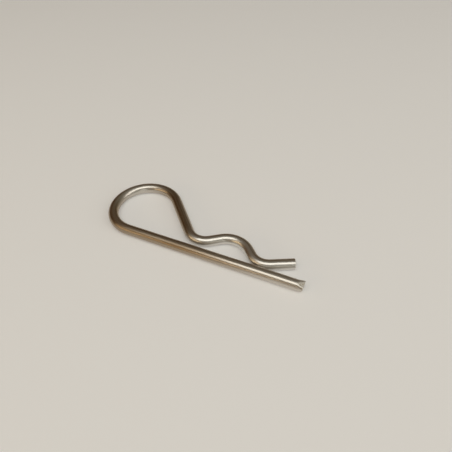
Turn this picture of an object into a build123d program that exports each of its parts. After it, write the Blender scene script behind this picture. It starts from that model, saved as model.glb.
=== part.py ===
from build123d import *
import os
from math import cos, radians, sin

# Hitch R clip: one length of round spring wire, bent flat.
# A straight leg goes through the cross hole of a shaft. The wire turns back round a bow, which is
# the finger grip, and its second leg dips to the straight one, humps over the shaft, dips again
# and ends in a flare that guides it on. All sizes are in millimetres and angles in degrees.

# The wire, and the straight leg from the bow to its cut end.
wire_diameter = 4.0
leg_length = 71.0

# The bow is one round bend of more than half a turn, which aims the second leg down at the first.
bow_inside_radius = 11.0
return_angle = 46.5

# The first dip, nearest the bow. Its gap is between the two wires.
first_dip_gap = 1.6
first_dip_inside_radius = 5.0

# The hump that sits on the shaft. Its height is the clear space between the two wires.
rise_angle = 35.5
hump_clear_height = 7.0
hump_inside_radius = 7.0
fall_angle = 45.0

# The second dip is the throat, where the sprung wire all but touches the straight leg.
second_dip_gap = 0.1
second_dip_inside_radius = 4.75

# The flared end, from the second dip to its square cut.
flare_angle = 26.5
flare_length = 8.8
flare_edge_radius = 0.25

# The straight leg's end is sheared. The blade flattened one side and spread the wire across that,
# and the edge of the cut that faces away from the other leg rolled over. The cut leans, so its
# long side is the flattened one. Both directions are measured about the leg, from +Y towards +Z.
flat_direction = 104.0
flat_length = 2.4
flat_depth = 0.5
spread = 0.3
roll_direction = 222.0
roll_length = 1.6
roll_depth = 0.65
cut_lean = 6.0

# Everything below follows from those sizes.
wire_radius = wire_diameter / 2
bow_radius = bow_inside_radius + wire_radius
first_dip_radius = first_dip_inside_radius + wire_radius
hump_radius = hump_inside_radius + wire_radius
second_dip_radius = second_dip_inside_radius + wire_radius

# How far the centre line of each crest and dip stands from the straight leg's.
first_dip_height = wire_diameter + first_dip_gap
hump_height = wire_diameter + hump_clear_height
second_dip_height = wire_diameter + second_dip_gap


def sagitta(radius, angle):
    """How far a bend drops across its own tangent by the time it has turned through an angle."""
    return radius * (1 - cos(radians(angle)))


def straight_between(drop, first_bend, second_bend, angle):
    """Length of the sloping straight that makes up the drop left over by the bends at its ends."""
    return (drop - sagitta(first_bend, angle) - sagitta(second_bend, angle)) / sin(radians(angle))


# The bow ends with the wire falling at the return angle, short of the crest by its own sagitta.
return_straight = straight_between(
    2 * bow_radius - first_dip_height, bow_radius, first_dip_radius, return_angle
)
rise_straight = straight_between(
    hump_height - first_dip_height, first_dip_radius, hump_radius, rise_angle
)
fall_straight = straight_between(
    hump_height - second_dip_height, hump_radius, second_dip_radius, fall_angle
)

# The origin is under the middle of the clip, on the surface it lies on. The legs run along X.
overall_length = leg_length + bow_radius + wire_radius
leg_end_x = overall_length / 2
leg_y = -bow_radius

with BuildPart() as r_clip:
    # The centre line lies flat, a wire radius above the surface.
    with BuildLine(Plane.XY.offset(wire_radius)) as centre_line:
        leg = Line((leg_end_x - flat_length, leg_y), (leg_end_x - leg_length, leg_y))
        bow = JernArc(leg @ 1, leg % 1, bow_radius, -(180 + return_angle))
        return_run = PolarLine(bow @ 1, return_straight, direction=bow % 1)
        first_dip = JernArc(
            return_run @ 1, return_run % 1, first_dip_radius, return_angle + rise_angle
        )
        rise = PolarLine(first_dip @ 1, rise_straight, direction=first_dip % 1)
        hump = JernArc(rise @ 1, rise % 1, hump_radius, -(rise_angle + fall_angle))
        fall = PolarLine(hump @ 1, fall_straight, direction=hump % 1)
        second_dip = JernArc(
            fall @ 1, fall % 1, second_dip_radius, fall_angle + flare_angle
        )
        flare = PolarLine(second_dip @ 1, flare_length, direction=second_dip % 1)

    # Drawn wire has one round section along the whole bend.
    with BuildSketch(Plane(leg @ 0, z_dir=leg % 0)):
        Circle(wire_radius)
    sweep()

    # The flared end is cut square, with its edge rounded off.
    flare_end = r_clip.faces().filter_by(GeomType.PLANE).sort_by_distance(flare @ 1)[0]
    fillet(flare_end.edges(), flare_edge_radius)

    # The last of the straight leg goes from round to a section that is spread across the flat,
    # to the side of the other leg.
    leg_axis = Vector(1, 0, 0)
    flat_side = Vector(0, cos(radians(flat_direction)), sin(radians(flat_direction)))
    spread_side = flat_side.cross(leg_axis)
    roll_side = Vector(0, cos(radians(roll_direction)), sin(radians(roll_direction)))
    leg_end = Vector(leg_end_x, leg_y, wire_radius)
    with BuildSketch(Plane(leg @ 0, x_dir=flat_side, z_dir=leg_axis)):
        Circle(wire_radius)
    with BuildSketch(Plane(leg_end + spread_side * spread / 2, x_dir=flat_side, z_dir=leg_axis)):
        Ellipse(wire_radius, wire_radius + spread / 2)
    loft()

    # The blade's flat is a ramp that is deepest at the cut.
    with BuildSketch(Plane(leg_end, x_dir=leg_axis, z_dir=leg_axis.cross(flat_side))):
        with BuildLine():
            ramp = Line((-flat_length, wire_radius), (0, wire_radius - flat_depth))
            Polyline(ramp @ 1, (0, wire_diameter), (-flat_length, wire_diameter), ramp @ 0)
        make_face()
    extrude(amount=wire_diameter, both=True, mode=Mode.SUBTRACT)

    # The rolled edge leaves the wire's side smoothly and curves in to the cut.
    with BuildSketch(Plane(leg_end, x_dir=leg_axis, z_dir=leg_axis.cross(roll_side))):
        with BuildLine():
            roll = TangentArc(
                (-roll_length, wire_radius), (0, wire_radius - roll_depth), tangent=(1, 0)
            )
            Polyline(roll @ 1, (0, wire_diameter), (-roll_length, wire_diameter), roll @ 0)
        make_face()
    extrude(amount=wire_diameter, both=True, mode=Mode.SUBTRACT)

    # The cut face leans back from the flattened side, which stays the longest.
    long_side = leg_end + flat_side * (wire_radius - flat_depth)
    cut_facing = leg_axis.rotate(Axis(leg_end, leg_axis.cross(flat_side)), -cut_lean)
    with BuildSketch(Plane(long_side, z_dir=cut_facing)):
        Circle(wire_diameter)
    extrude(amount=wire_diameter, mode=Mode.SUBTRACT)

print("bend radii", bow_radius, first_dip_radius, hump_radius, second_dip_radius)
print("straights", return_straight, rise_straight, fall_straight)

r_clip.part.label = "r_clip"
os.makedirs("parts", exist_ok=True)
export_step(r_clip.part, "parts/r_clip.step")
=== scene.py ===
from math import cos, pi, radians, sin, sqrt, tan

import bmesh
import bpy
from mathutils import Matrix, Vector, noise


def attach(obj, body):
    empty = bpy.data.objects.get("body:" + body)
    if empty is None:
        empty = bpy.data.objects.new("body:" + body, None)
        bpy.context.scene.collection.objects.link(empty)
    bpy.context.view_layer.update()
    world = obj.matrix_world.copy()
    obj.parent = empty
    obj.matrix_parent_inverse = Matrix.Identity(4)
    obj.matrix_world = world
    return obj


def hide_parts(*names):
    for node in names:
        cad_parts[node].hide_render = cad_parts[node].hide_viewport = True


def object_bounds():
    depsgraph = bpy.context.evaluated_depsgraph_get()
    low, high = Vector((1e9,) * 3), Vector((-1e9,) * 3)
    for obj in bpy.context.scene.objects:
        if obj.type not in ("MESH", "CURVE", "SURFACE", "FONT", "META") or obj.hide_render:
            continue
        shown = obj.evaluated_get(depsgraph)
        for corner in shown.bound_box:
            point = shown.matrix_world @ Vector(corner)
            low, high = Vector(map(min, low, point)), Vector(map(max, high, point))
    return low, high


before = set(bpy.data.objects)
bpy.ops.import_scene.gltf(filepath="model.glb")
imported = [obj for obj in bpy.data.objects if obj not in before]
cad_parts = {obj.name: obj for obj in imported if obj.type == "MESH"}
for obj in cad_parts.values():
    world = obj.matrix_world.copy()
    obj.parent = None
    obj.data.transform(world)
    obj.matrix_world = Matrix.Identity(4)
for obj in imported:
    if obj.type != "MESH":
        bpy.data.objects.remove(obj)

cad_low, cad_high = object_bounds()
mm = 0.001

# The bent wire.
# The clip is one length of bright drawn spring wire, 4 mm thick. A wire former feeds it out and
# bends it flat round its pins, one bend after the other: bow, first dip, hump, second dip, flare.
wire_radius = 2.0 * mm
leg_length = 71.0 * mm
flare_length = 8.8 * mm
return_angle = radians(46.5)
rise_angle = radians(35.5)
fall_angle = radians(45.0)
flare_angle = radians(26.5)

# The middle of the wire goes round each bend a wire radius outside the pin.
bow_radius = 11.0 * mm + wire_radius
first_dip_radius = 5.0 * mm + wire_radius
hump_radius = 7.0 * mm + wire_radius
second_dip_radius = 4.75 * mm + wire_radius

# The height of each dip and crest over the straight leg, from centre to centre. It is the
# wire's thickness and the gap between the two wires.
bow_height = 2 * bow_radius
first_dip_height = 2 * wire_radius + 1.6 * mm
hump_height = 2 * wire_radius + 7.0 * mm
second_dip_height = 2 * wire_radius + 0.1 * mm

# The stretch before each cut end has marks of its own, so its rings of points stand closer.
sheared_stretch = 2.4 * mm
gripped_stretch = 3.5 * mm
mark_spacing = 0.1 * mm
bend_spacing = 0.5 * mm
straight_spacing = 2.0 * mm


def even(length, spacing):
    """Distances that divide a length evenly, about a spacing apart."""
    count = max(1, round(length / spacing))
    return [length * step / count for step in range(1, count + 1)]


def crowded(length, spacing):
    """Distances along a length that stand closer and closer together towards its start."""
    crowding = 9
    shares = even(1, spacing / length)
    return [length * (share + crowding * share * share) / (1 + crowding) for share in shares]


def run_between(drop, first_radius, second_radius, angle):
    """The sloping straight that is left of a drop when the bends at its ends have taken theirs."""
    return (drop - (first_radius + second_radius) * (1 - cos(angle))) / sin(angle)


def feed(heading, distances):
    """Feeds out straight wire, with a point of the route at each distance."""
    start = route[-1]
    forward = Vector((cos(heading), sin(heading), 0))
    route.extend(start + forward * distance for distance in distances)


def bend(heading, radius, angle):
    """Bends the wire round a pin, to the left where the angle is positive. Returns its heading."""
    side = 1 if angle > 0 else -1
    start = route[-1]
    to_pin = Vector((-sin(heading), cos(heading), 0)) * side * radius
    for turned in even(abs(angle), bend_spacing / radius):
        route.append(start + to_pin - Matrix.Rotation(side * turned, 3, "Z") @ to_pin)
    return heading + angle


# The straight leg ends at the far side of the CAD box, and lies a wire radius above the floor.
leg_end = Vector((cad_high.x, -bow_radius, wire_radius))
heading = pi
route = [leg_end]
feed(heading, crowded(sheared_stretch, mark_spacing))
feed(heading, even(leg_length - sheared_stretch, straight_spacing))
heading = bend(heading, bow_radius, -(pi + return_angle))
return_run = run_between(bow_height - first_dip_height, bow_radius, first_dip_radius, return_angle)
feed(heading, even(return_run, straight_spacing))
first_dip_along = sum((second - first).length for first, second in zip(route, route[1:]))
heading = bend(heading, first_dip_radius, return_angle + rise_angle)
rise = run_between(hump_height - first_dip_height, first_dip_radius, hump_radius, rise_angle)
feed(heading, even(rise, straight_spacing))
heading = bend(heading, hump_radius, -(rise_angle + fall_angle))
fall = run_between(hump_height - second_dip_height, hump_radius, second_dip_radius, fall_angle)
feed(heading, even(fall, straight_spacing))
heading = bend(heading, second_dip_radius, fall_angle + flare_angle)
feed(heading, even(flare_length - gripped_stretch, straight_spacing))
to_cut = reversed(crowded(gripped_stretch, mark_spacing)[:-1])
feed(heading, [gripped_stretch - left for left in to_cut] + [gripped_stretch])
flare_end = route[-1]
flare_forward = Vector((cos(heading), sin(heading), 0))


def add_node(tree, kind, inputs=None, **settings):
    """Adds a node to a tree. An input's value may be another node's output, which is linked."""
    node = tree.nodes.new(kind)
    for name, value in settings.items():
        setattr(node, name, value)
    for socket in node.inputs:
        value = (inputs or {}).get(socket.identifier)
        if isinstance(value, bpy.types.NodeSocket):
            tree.links.new(value, socket)
        elif value is not None:
            socket.default_value = value
    return node


# The tree carries a round section along the route. It keeps each point's place on the wire as it
# was before bending: how far along, and where on the round section.
def wire_tree():
    tree = bpy.data.node_groups.new("wire_along_route", "GeometryNodeTree")
    tree.interface.new_socket("Geometry", in_out="INPUT", socket_type="NodeSocketGeometry")
    tree.interface.new_socket("Wire Radius", in_out="INPUT", socket_type="NodeSocketFloat")
    tree.interface.new_socket("Sides", in_out="INPUT", socket_type="NodeSocketInt")
    tree.interface.new_socket("Finish", in_out="INPUT", socket_type="NodeSocketMaterial")
    made = tree.interface.new_socket("Geometry", in_out="OUTPUT", socket_type="NodeSocketGeometry")
    given = tree.nodes.new("NodeGroupInput").outputs
    along = add_node(tree, "GeometryNodeStoreNamedAttribute", {
        "Geometry": given["Geometry"],
        "Name": "along",
        "Value": add_node(tree, "GeometryNodeSplineParameter").outputs["Length"],
    }, data_type="FLOAT")
    upright = add_node(tree, "GeometryNodeSetCurveNormal", {
        "Curve": along.outputs["Geometry"],
    }, mode="Z_UP")
    round_section = add_node(tree, "GeometryNodeCurvePrimitiveCircle", {
        "Resolution": given["Sides"],
        "Radius": given["Wire Radius"],
    })
    section = add_node(tree, "GeometryNodeStoreNamedAttribute", {
        "Geometry": round_section.outputs["Curve"],
        "Name": "section",
        "Value": add_node(tree, "GeometryNodeInputPosition").outputs["Position"],
    }, data_type="FLOAT_VECTOR")
    swept = add_node(tree, "GeometryNodeCurveToMesh", {
        "Curve": upright.outputs["Curve"],
        "Profile Curve": section.outputs["Geometry"],
        "Fill Caps": True,
    })
    split = add_node(tree, "ShaderNodeSeparateXYZ", {
        "Vector": add_node(tree, "GeometryNodeInputNamedAttribute", {"Name": "section"},
                           data_type="FLOAT_VECTOR").outputs["Attribute"],
    })
    place = add_node(tree, "ShaderNodeCombineXYZ", {
        "X": add_node(tree, "GeometryNodeInputNamedAttribute", {"Name": "along"},
                      data_type="FLOAT").outputs["Attribute"],
        "Y": split.outputs["X"],
        "Z": split.outputs["Y"],
    })
    placed = add_node(tree, "GeometryNodeStoreNamedAttribute", {
        "Geometry": swept.outputs["Mesh"],
        "Name": "wire_place",
        "Value": place.outputs["Vector"],
    }, data_type="FLOAT_VECTOR")
    realized = add_node(tree, "GeometryNodeRealizeInstances", {
        "Geometry": placed.outputs["Geometry"],
    })
    finished = add_node(tree, "GeometryNodeSetMaterial", {
        "Geometry": realized.outputs["Geometry"],
        "Material": given["Finish"],
    })
    add_node(tree, "NodeGroupOutput", {made.identifier: finished.outputs["Geometry"]})
    return tree


# Drawn steel finish.
# The wire is pulled bright through a die, which leaves fine lines along it. They follow the wire
# round its bends, so the pattern is laid out on the wire's straight, unbent places.
def streaks(tree, place, sizes, detail=2.0, offset=0.0):
    """Noise with streaks of a size in metres along each of the place's three directions."""
    stretched = add_node(tree, "ShaderNodeMapping", {
        "Vector": place,
        "Location": (offset, offset, offset),
        "Scale": tuple(1 / size for size in sizes),
    })
    return add_node(tree, "ShaderNodeTexNoise", {
        "Vector": stretched.outputs["Vector"],
        "Scale": 1.0,
        "Detail": detail,
    }).outputs["Fac"]


def spots(tree, place, size, detail):
    """Noise with spots of a size in metres, the same in every direction."""
    return add_node(tree, "ShaderNodeTexNoise", {
        "Vector": place,
        "Scale": 1 / size,
        "Detail": detail,
    }).outputs["Fac"]


def mapped(tree, value, from_range, to_range):
    """A value carried from one range to another, and held at the range's ends."""
    return add_node(tree, "ShaderNodeMapRange", {
        "Value": value,
        "From Min": from_range[0],
        "From Max": from_range[1],
        "To Min": to_range[0],
        "To Max": to_range[1],
    }).outputs["Result"]


def blended(tree, share, first, second):
    """A mix of two colours, where a share of 1 gives the second."""
    return add_node(tree, "ShaderNodeMix", {
        "Factor_Float": share,
        "A_Color": first,
        "B_Color": second,
    }, data_type="RGBA").outputs["Result"]


def mixed(tree, share, first, second):
    """A mix of two plain values, where a share of 1 gives the second."""
    return add_node(tree, "ShaderNodeMix", {
        "Factor_Float": share,
        "A_Float": first,
        "B_Float": second,
    }, data_type="FLOAT").outputs["Result"]


def product(tree, first, second):
    return add_node(tree, "ShaderNodeMath", {
        "Value": first,
        "Value_001": second,
    }, operation="MULTIPLY").outputs["Value"]


def drawn_steel():
    steel = bpy.data.materials.new("drawn_steel")
    steel.use_nodes = True
    tree = steel.node_tree
    surface = tree.nodes["Principled BSDF"]
    on_object = add_node(tree, "ShaderNodeTexCoord").outputs["Object"]
    on_wire = add_node(tree, "ShaderNodeAttribute", attribute_name="wire_place").outputs["Vector"]
    wear_and_highlight = add_node(tree, "ShaderNodeAttribute", attribute_name="wear_and_highlight").outputs["Fac"]
    struck = add_node(tree, "ShaderNodeAttribute", attribute_name="struck").outputs["Fac"]
    cut = add_node(tree, "ShaderNodeAttribute", attribute_name="cut_face").outputs["Fac"]
    torn = add_node(tree, "ShaderNodeAttribute", attribute_name="torn").outputs["Fac"]

    # The die leaves long lines, and finer ones between them. A thin brown film stays in bands.
    # Use leaves short scuffs across the wire.
    bands = streaks(tree, on_wire, (50 * mm, 0.8 * mm, 0.8 * mm), offset=3.7)
    die_lines = streaks(tree, on_wire, (160 * mm, 0.42 * mm, 0.42 * mm), detail=1.0, offset=1.3)
    fine_lines = streaks(tree, on_wire, (30 * mm, 0.11 * mm, 0.11 * mm), detail=3.0)
    scuffs = streaks(tree, on_wire, (0.07 * mm, 1.6 * mm, 1.6 * mm))

    # A cut face has upright lines from the blade and a grain where it tears. The blade's flat is
    # mottled.
    blade_lines = streaks(tree, on_object, (0.08 * mm, 0.08 * mm, 1.8 * mm))
    grain = spots(tree, on_object, 0.16 * mm, detail=4.0)
    mottle = spots(tree, on_object, 0.5 * mm, detail=2.0)

    body = (0.44, 0.36, 0.265, 1)
    film = (0.30, 0.215, 0.13, 1)
    polished = (0.80, 0.785, 0.75, 1)
    fresh = (0.80, 0.775, 0.72, 1)
    torn_pit = (0.33, 0.315, 0.29, 1)
    torn_peak = (0.55, 0.53, 0.495, 1)
    filmed = mapped(tree, bands, (0.42, 0.58), (1, 0))
    bright_lines = mapped(tree, fine_lines, (0.5, 0.72), (0, 0.5))
    scuffed = mapped(tree, scuffs, (0.68, 0.78), (0, 0.4))
    line_patchiness = mapped(tree, fine_lines, (0.35, 0.6), (0.6, 1.0))
    pressed_bright = mapped(tree, mottle, (0.38, 0.58), (0.3, 1.0))
    sliced_bright = mapped(tree, blade_lines, (0.3, 0.65), (0, 1))
    crumbled = mapped(tree, grain, (0.35, 0.62), (0, 1))
    colour = blended(tree, filmed, body, film)
    colour = blended(tree, bright_lines, colour, polished)
    colour = blended(tree, scuffed, colour, polished)
    # Rubbed places turn polished. This lighter colour is partly wear and partly a painted
    # highlight.
    colour = blended(tree, product(tree, wear_and_highlight, line_patchiness), colour, polished)
    colour = blended(tree, struck, colour, blended(tree, pressed_bright, body, fresh))
    colour = blended(tree, cut, colour, blended(tree, sliced_bright, torn_peak, fresh))
    colour = blended(tree, torn, colour, blended(tree, crumbled, torn_pit, torn_peak))
    tree.links.new(colour, surface.inputs["Base Color"])

    rubbed_roughness = 0.32
    cut_roughness = 0.30
    torn_roughness = 0.52
    drawn_roughness = mapped(tree, fine_lines, (0.3, 0.7), (0.38, 0.27))
    pressed_roughness = mapped(tree, mottle, (0.4, 0.6), (0.48, 0.34))
    rough = mixed(tree, wear_and_highlight, drawn_roughness, rubbed_roughness)
    rough = mixed(tree, struck, rough, pressed_roughness)
    rough = mixed(tree, cut, rough, cut_roughness)
    rough = mixed(tree, torn, rough, torn_roughness)
    tree.links.new(rough, surface.inputs["Roughness"])
    surface.inputs["Metallic"].default_value = 1.0

    # The die's lines set the height of the relief. The blade's are deeper, and the grain deepest.
    relief_height = 0.006 * mm
    share_of_fine_lines = 0.3
    blade_relief = 2.0
    torn_relief = 5.0
    relief = mixed(tree, share_of_fine_lines, die_lines, fine_lines)
    relief = mixed(tree, cut, relief, product(tree, blade_lines, blade_relief))
    relief = mixed(tree, torn, relief, product(tree, grain, torn_relief))
    bump = add_node(tree, "ShaderNodeBump", {
        "Height": relief,
        "Strength": 1.0,
        "Distance": relief_height,
    })
    tree.links.new(bump.outputs["Normal"], surface.inputs["Normal"])
    return steel


# The tree is run once on the route, and what it makes is kept as a plain mesh.
wire_sides = 128
tree = wire_tree()
route_curve = bpy.data.curves.new("route", "CURVE")
route_curve.dimensions = "3D"
spline = route_curve.splines.new("POLY")
spline.points.add(len(route) - 1)
for point, place in zip(spline.points, route):
    point.co = (*place, 1)
route_object = bpy.data.objects.new("route", route_curve)
bpy.context.collection.objects.link(route_object)
sweep = route_object.modifiers.new("wire_along_route", "NODES")
sweep.node_group = tree
wire_inputs = {"Wire Radius": wire_radius, "Sides": wire_sides, "Finish": drawn_steel()}
for socket in tree.interface.items_tree:
    if socket.name in wire_inputs:
        sweep[socket.identifier] = wire_inputs[socket.name]
graph = bpy.context.evaluated_depsgraph_get()
wire_mesh = bpy.data.meshes.new_from_object(route_object.evaluated_get(graph), depsgraph=graph)
wire_mesh.name = "bent_wire"
bpy.data.objects.remove(route_object)
wire = bpy.data.objects.new("bent_wire", wire_mesh)
bpy.context.collection.objects.link(wire)


# Rubbed places, with painted highlights.
# The clip goes on and off many times. The side of the spring leg that faces the straight one
# slides over the shaft, the outer part of the straight leg slides through its hole, and a finger
# pulls at the bow's crown. All three rub bright. Their lighter colour is also a painted highlight,
# brighter there than the lamps alone make it.
def ramp(value, low, high):
    """0 below a low value and 1 above a high one, with a smooth way between."""
    share = min(1, max(0, (value - low) / (high - low)))
    return share * share * (3 - 2 * share)


shaft_rub_start = first_dip_along - 3 * mm
shaft_rub_full = first_dip_along + 6 * mm
facing_away = -0.6
facing_leg = 0.5
hole_and_finger_share = 0.75
hole_rub_reach = 55 * mm
crown_share = 0.6
bow_length = bow_radius * (pi + return_angle)
bow_crown = leg_length + bow_length * crown_share
finger_rub_full = 2 * mm
finger_rub_reach = 19 * mm

# The new attribute comes before the old one's values are looked up, because it moves them.
wear_and_highlight = wire_mesh.attributes.new("wear_and_highlight", "FLOAT", "POINT")
wire_places = wire_mesh.attributes["wire_place"].data
for vertex in wire_mesh.vertices:
    along = wire_places[vertex.index].vector.x
    over_shaft = ramp(along, shaft_rub_start, shaft_rub_full)
    over_shaft *= ramp(-vertex.normal.y, facing_away, facing_leg)
    through_hole = hole_and_finger_share * (1 - ramp(along, 0, hole_rub_reach))
    at_finger = hole_and_finger_share * (1 - ramp(abs(along - bow_crown), finger_rub_full, finger_rub_reach))
    wear_and_highlight.data[vertex.index].value = max(over_shaft, through_hole, at_finger)

# The sheared end.
# The straight leg is sheared off. The blade flattens one side and spreads the wire across that,
# rolls over the edge beside it, and leaves a leaning cut whose long side is the flattened one.
flat_depth = 0.5 * mm
spread = 0.3 * mm
roll_length = 1.6 * mm
roll_depth = 0.65 * mm
cut_lean = radians(6)
pressed_softness = 0.08 * mm
sheared_edge_radius = 0.1 * mm

# The blade's mark shows in full where it has pushed the steel in this far.
full_mark_depth = 0.12 * mm

# Where the flat and the roll face, about the leg, from +Y towards +Z. The steel spreads to one
# side of the flat.
flat_direction = radians(104)
roll_direction = radians(222)
flat_side = Vector((0, cos(flat_direction), sin(flat_direction)))
roll_side = Vector((0, cos(roll_direction), sin(roll_direction)))
spread_side = flat_side.cross(Vector((1, 0, 0)))


def pressed(height, limit):
    """A height that is pressed down to a limit, with a soft border round what is pressed."""
    share = min(1, max(0, 0.5 + (height - limit) / (2 * pressed_softness)))
    return height + (limit - height) * share - pressed_softness * share * (1 - share)


def rounded_in(depth, radius):
    """How far a rounded edge has fallen away at a depth behind the end's face."""
    left = min(radius, max(0, radius - depth))
    return radius - sqrt(radius ** 2 - left ** 2)


def shear(point):
    """Where the shear moves a point of the straight leg's last stretch."""
    from_cut = leg_end.x - point.x
    share = 1 - from_cut / sheared_stretch
    section = Vector((0, point.y - leg_end.y, point.z - leg_end.z))
    section *= 1 - rounded_in(from_cut, sheared_edge_radius) / wire_radius
    section += spread_side * share * spread / 2 * (1 + section.dot(spread_side) / wire_radius)
    high = section.dot(flat_side)
    section += flat_side * (pressed(high, wire_radius - share * flat_depth) - high)
    lean = tan(cut_lean) * min(0, section.dot(flat_side) - (wire_radius - flat_depth))
    from_cut -= share * lean
    if from_cut < roll_length:
        arc_radius = (roll_length ** 2 + roll_depth ** 2) / (2 * roll_depth)
        sagged = arc_radius - sqrt(arc_radius ** 2 - (roll_length - from_cut) ** 2)
        high = section.dot(roll_side)
        section += roll_side * (pressed(high, wire_radius - sagged) - high)
    return leg_end + section - Vector((from_cut, 0, 0))


struck = wire_mesh.attributes.new("struck", "FLOAT", "POINT")
for vertex in wire_mesh.vertices:
    if vertex.co.x > leg_end.x - sheared_stretch:
        before = vertex.co.copy()
        vertex.co = shear(vertex.co)
        pushed_in = (before - vertex.co).dot(flat_side)
        struck.data[vertex.index].value = ramp(pushed_in, 0, full_mark_depth)

# The flared end.
# It is cut square, and its edge is rounded off by tumbling, so that it rides up on a shaft. The
# former's grip leaves a faint mark across its top.
flared_edge_radius = 0.25 * mm
grip_from_end = 2.9 * mm
grip_width = 0.5 * mm
grip_depth = 0.035 * mm
grip_side_height = 0.1
grip_top_height = 0.7
near_flare_axis = 1.5 * wire_radius
for vertex in wire_mesh.vertices:
    off_end = vertex.co - flare_end
    from_cut = -off_end.dot(flare_forward)
    off_axis = off_end + flare_forward * from_cut
    if off_axis.length < near_flare_axis and from_cut < gripped_stretch:
        fallen = rounded_in(from_cut, flared_edge_radius)
        gripped = 1 - ramp(abs(from_cut - grip_from_end), 0, grip_width)
        on_top = ramp(off_axis.z / wire_radius, grip_side_height, grip_top_height)
        fallen += grip_depth * gripped * on_top
        vertex.co -= off_axis * fallen / wire_radius

# The cut faces.
# A cutter leaves a smooth band where its blade goes in, and the rest tears off and stays rough.
# Each face is closed with rings of faces, from its rim to its middle.
cut_rings = 20
rim_fade = 8
tear_variation = 0.9
tear_grain = 0.35 * mm
border_stray = 0.2 * mm
border_grain = 0.4 * mm
sheared_tear_depth = 0.06 * mm
pinched_tear_depth = 0.03 * mm

# How far behind the shear's blade the smooth band turns into torn steel, and how far from its
# middle the pinched face turns smooth again.
shear_tears_from = 1.45 * mm
shear_torn_from = 1.65 * mm
pinch_torn_to = 0.85 * mm
pinch_smooth_from = 1.05 * mm


def close_end(wire_faces, end_face, tear_depth, torn_share):
    rim = [corner.vert for corner in end_face.loops]
    middle = sum((vertex.co for vertex in rim), Vector()) / len(rim)
    inward = -end_face.normal
    place = wire_faces.verts.layers.float_vector["wire_place"]
    cut = wire_faces.verts.layers.float["cut_face"]
    torn = wire_faces.verts.layers.float["torn"]
    middle_place = sum((vertex[place] for vertex in rim), Vector()) / len(rim)

    def made_at(point, its_place, share):
        torn_here = torn_share(point) * min(1, rim_fade * (1 - share))
        roughness = 1 + tear_variation * noise.noise(point / tear_grain)
        made = wire_faces.verts.new(point + inward * tear_depth * torn_here * roughness)
        made[place] = its_place
        made[cut] = 1.0
        made[torn] = torn_here
        return made

    wire_faces.faces.remove(end_face)
    outer = rim
    for vertex in rim:
        vertex[cut] = 1.0
    for ring in range(1, cut_rings):
        share = 1 - ring / cut_rings
        inner = [
            made_at(middle.lerp(vertex.co, share), middle_place.lerp(vertex[place], share), share)
            for vertex in rim
        ]
        for corners in zip(outer, outer[1:] + outer[:1], inner[1:] + inner[:1], inner):
            wire_faces.faces.new(corners)
        outer = inner
    tip = made_at(middle, middle_place, 0)
    for first, second in zip(outer, outer[1:] + outer[:1]):
        wire_faces.faces.new((first, second, tip))


def stray(point):
    """How far the uneven border of the torn steel strays at a point."""
    return border_stray * noise.noise(point / border_grain)


def torn_by_shear(point):
    """The blade comes in from the flattened side, and tears what it leaves on the far one."""
    from_blade = wire_radius - (point - leg_end).dot(flat_side) + stray(point)
    return ramp(from_blade, shear_tears_from, shear_torn_from)


def torn_by_pinch(point):
    """The flared end is pinched off from both sides, and tears only in the middle."""
    from_middle = abs(point.z - wire_radius) + stray(point)
    return 1 - ramp(from_middle, pinch_torn_to, pinch_smooth_from)


wire_mesh.attributes.new("cut_face", "FLOAT", "POINT")
wire_mesh.attributes.new("torn", "FLOAT", "POINT")
wire_faces = bmesh.new()
wire_faces.from_mesh(wire_mesh)
end_faces = [face for face in wire_faces.faces if len(face.verts) == wire_sides]
for end_face in end_faces:
    if end_face.calc_center_median().x > flare_end.x + 2 * wire_radius:
        close_end(wire_faces, end_face, sheared_tear_depth, torn_by_shear)
    else:
        close_end(wire_faces, end_face, pinched_tear_depth, torn_by_pinch)
bmesh.ops.recalc_face_normals(wire_faces, faces=wire_faces.faces)
wire_faces.to_mesh(wire_mesh)
wire_faces.free()

sharp_from = radians(35)
wire_mesh.shade_smooth()
wire_mesh.set_sharp_from_angle(angle=sharp_from)

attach(wire, "root")
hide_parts("r_clip")


# Floor and light.
# The clip lies on a pale matt sheet, under soft panels, with a dim room round it. The panels on
# the left are warmer than those overhead and on the right.
def plain_floor():
    floor_half_width = 1.5
    floor_lift = 0.17
    paper = bpy.data.materials.new("floor_paper")
    paper.use_nodes = True
    tree = paper.node_tree
    surface = tree.nodes["Principled BSDF"]
    surface.inputs["Base Color"].default_value = (0.80, 0.795, 0.785, 1)
    surface.inputs["Roughness"].default_value = 0.9
    surface.inputs["Specular IOR Level"].default_value = 0.2
    surface.inputs["Emission Color"].default_value = (1.0, 0.985, 0.96, 1)
    seen = add_node(tree, "ShaderNodeLightPath").outputs
    lifted = seen["Is Camera Ray"]
    for ray in ("Is Glossy Ray", "Is Transmission Ray"):
        lifted = add_node(tree, "ShaderNodeMath", {
            "Value": lifted,
            "Value_001": seen[ray],
        }, operation="MAXIMUM").outputs["Value"]
    tree.links.new(product(tree, lifted, floor_lift), surface.inputs["Emission Strength"])
    sheet = bpy.data.meshes.new("floor")
    sheet.from_pydata([
        (-floor_half_width, -floor_half_width, 0),
        (floor_half_width, -floor_half_width, 0),
        (floor_half_width, floor_half_width, 0),
        (-floor_half_width, floor_half_width, 0),
    ], [], [(0, 1, 2, 3)])
    sheet.materials.append(paper)
    floor = bpy.data.objects.new("floor", sheet)
    bpy.context.collection.objects.link(floor)
    return floor


plain_floor()


def soft_light(name, middle, along, length, width, radiance, colour):
    """A soft panel that faces the clip. It has a middle, a long direction and a brightness."""
    lamp = bpy.data.lights.new(name, "AREA")
    lamp.shape = "RECTANGLE"
    lamp.size = length
    lamp.size_y = width
    lamp.energy = radiance * pi * length * width
    lamp.color = colour
    panel = bpy.data.objects.new(name, lamp)
    facing = middle.normalized()
    across = facing.cross(along).normalized()
    panel.matrix_world = Matrix.LocRotScale(
        middle, Matrix((across.cross(facing), across, facing)).transposed(), None
    )
    bpy.context.collection.objects.link(panel)


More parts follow.
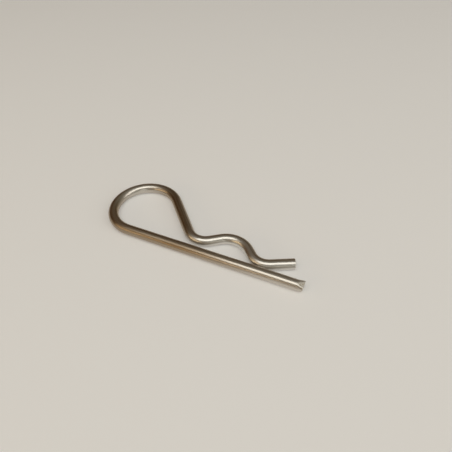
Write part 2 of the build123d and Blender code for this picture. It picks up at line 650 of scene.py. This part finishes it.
soft_white = (1.0, 0.985, 0.93)
cool_white = (1.0, 1.0, 0.94)
warm_white = (1.0, 0.80, 0.56)
amber = (1.0, 0.76, 0.47)
soft_light("overhead_near", Vector((-0.03, -0.32, 0.80)), along=Vector((1.4, 0.2, 0)),
           length=0.62, width=0.52, radiance=1.65, colour=soft_white)
soft_light("overhead_far", Vector((0.62, -0.13, 0.80)), along=Vector((1.4, 0.55, 0)),
           length=0.84, width=0.46, radiance=1.7, colour=soft_white)
soft_light("overhead_left", Vector((-0.60, -0.45, 0.76)), along=Vector((1, 0.15, 0)),
           length=0.70, width=0.30, radiance=0.45, colour=warm_white)
soft_light("right", Vector((0.95, 0.12, 0.40)), along=Vector((0, 1, 0)),
           length=0.45, width=0.30, radiance=1.6, colour=soft_white)
soft_light("low_left", Vector((-0.5, -0.7, 0.30)), along=Vector((0.8, -0.6, 0)),
           length=0.8, width=0.20, radiance=1.9, colour=amber)
soft_light("low_right", Vector((0.56, -0.82, 0.12)), along=Vector((0.83, 0.55, 0)),
           length=0.36, width=0.22, radiance=1.6, colour=cool_white)

# The room's walls are browner on the left, and its ceiling is dim.
left_wall = (0.090, 0.046, 0.018, 1)
right_wall = (0.24, 0.225, 0.185, 1)
ceiling = (0.165, 0.152, 0.122, 1)
world = bpy.data.worlds.new("dim_room")
world.use_nodes = True
bpy.context.scene.world = world
room = world.node_tree
direction = add_node(room, "ShaderNodeSeparateXYZ", {
    "Vector": add_node(room, "ShaderNodeTexCoord").outputs["Generated"],
}).outputs
to_right = mapped(room, direction["X"], (-0.6, 0.6), (0, 1))
upward = mapped(room, direction["Z"], (0.5, 1.0), (0, 1))
walls = blended(room, to_right, left_wall, right_wall)
room.links.new(blended(room, upward, walls, ceiling), room.nodes["Background"].inputs["Color"])

# Camera.
# It looks down on the clip from in front and to the right, held a little out of level.
camera_azimuth = radians(26.11)
camera_elevation = radians(44.61)
camera_roll = radians(-2.21)
camera_distance = 177.7 * mm
aim = Vector((5.38, 5.41, 0)) * mm
back = Vector((
    sin(camera_azimuth) * cos(camera_elevation),
    -cos(camera_azimuth) * cos(camera_elevation),
    sin(camera_elevation),
))
level_right = Vector((cos(camera_azimuth), sin(camera_azimuth), 0))
right = level_right * cos(camera_roll) + back.cross(level_right) * sin(camera_roll)
up = back.cross(right)
camera = bpy.data.cameras.new("camera")
camera.lens = 35.84
camera.sensor_width = 36.0
camera.clip_start = 1 * mm
camera_object = bpy.data.objects.new("camera", camera)
camera_object.matrix_world = Matrix.LocRotScale(
    aim + back * camera_distance,
    Matrix((right, up, back)).transposed(),
    None,
)
bpy.context.collection.objects.link(camera_object)
bpy.context.scene.camera = camera_object
bpy.context.scene.view_settings.view_transform = "Standard"
